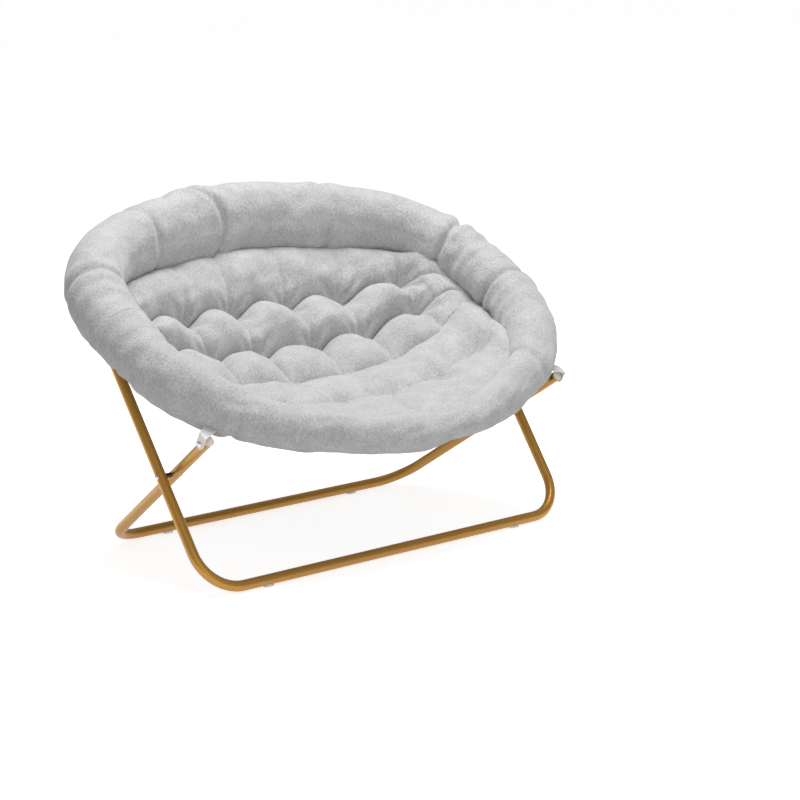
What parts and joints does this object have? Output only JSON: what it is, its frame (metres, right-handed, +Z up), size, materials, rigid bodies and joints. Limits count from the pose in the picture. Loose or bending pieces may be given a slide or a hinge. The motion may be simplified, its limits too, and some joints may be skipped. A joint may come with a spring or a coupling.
{
  "type": "folding saucer chair",
  "caption": "Folding two-seat saucer chair: crossed gold tube legs carry a hinged oval hoop with a fat padded rim and a tufted grey plush bowl",
  "frame": {"origin": "On the floor, on the middle plane, halfway between the front and back edges of the padded rim", "axes": "X runs across the chair along the floor bars, towards the sitter's left hand; Y points to the back of the chair; Z points up"},
  "size_m": [1.3129, 0.8749, 0.8411],
  "materials": {
    "gold_tube": "satin gold powder coat on steel tube",
    "zinc": "zinc-plated steel bolts, nuts and rivets",
    "white_bracket": "pale zinc-coloured steel strap",
    "dark_nut": "dark oxide steel nut",
    "black_sleeve": "black moulded spacer",
    "cream_plug": "cream moulded end plug",
    "clear_glide": "translucent moulded floor glide",
    "plush": "short-pile pale grey plush over a soft filling"
  },
  "bodies": {
    "front_leg": {"front_leg_tube": "gold_tube", "front_glides": "clear_glide", "front_leg_plugs": "cream_plug", "crossing_bolts": "zinc", "crossing_spacers": "black_sleeve", "crossing_nuts": "zinc"},
    "rear_leg": {"rear_leg_tube": "gold_tube", "rear_glides": "clear_glide", "rear_leg_plugs": "cream_plug", "rear_leg_pins": "zinc", "rear_leg_nuts": "dark_nut"},
    "back_hoop": {"back_hoop_tube": "gold_tube", "back_pivot_bolts": "zinc", "back_pivot_spacers": "black_sleeve", "back_pivot_nuts": "zinc", "back_rim_roll": "plush", "back_pad": "plush"},
    "front_hoop": {"front_hoop_tube": "gold_tube", "hinge_rivets": "zinc", "hinge_washers": "black_sleeve", "front_brackets": "white_bracket", "bracket_bolts": "zinc", "front_rim_roll": "plush", "seat_pad": "plush"}
  },
  "joints": [
    {"name": "back_hoop_swing", "type": "hinge", "parent": "front_leg", "child": "back_hoop", "pos_m": [0, 0.14571, 0.6055], "axis": [1, 0, 0], "range_deg": [-104.9, 0]},
    {"name": "leg_fold", "type": "hinge", "parent": "front_leg", "child": "rear_leg", "pos_m": [0, -0.10889, 0.25559], "axis": [1, 0, 0], "range_deg": [-74, 0]},
    {"name": "ring_hinge", "type": "hinge", "parent": "back_hoop", "child": "front_hoop", "pos_m": [0, 0.02856, 0.544], "axis": [1, 0, 0], "range_deg": [0, 133.7], "deforming": ["back_rim_roll", "front_rim_roll", "back_pad", "seat_pad"]}
  ],
  "couplings": [
    {"joint": "leg_fold", "follows": "back_hoop_swing", "ratio": 0.70543},
    {"joint": "ring_hinge", "follows": "back_hoop_swing", "ratio": -1.2745}
  ]
}
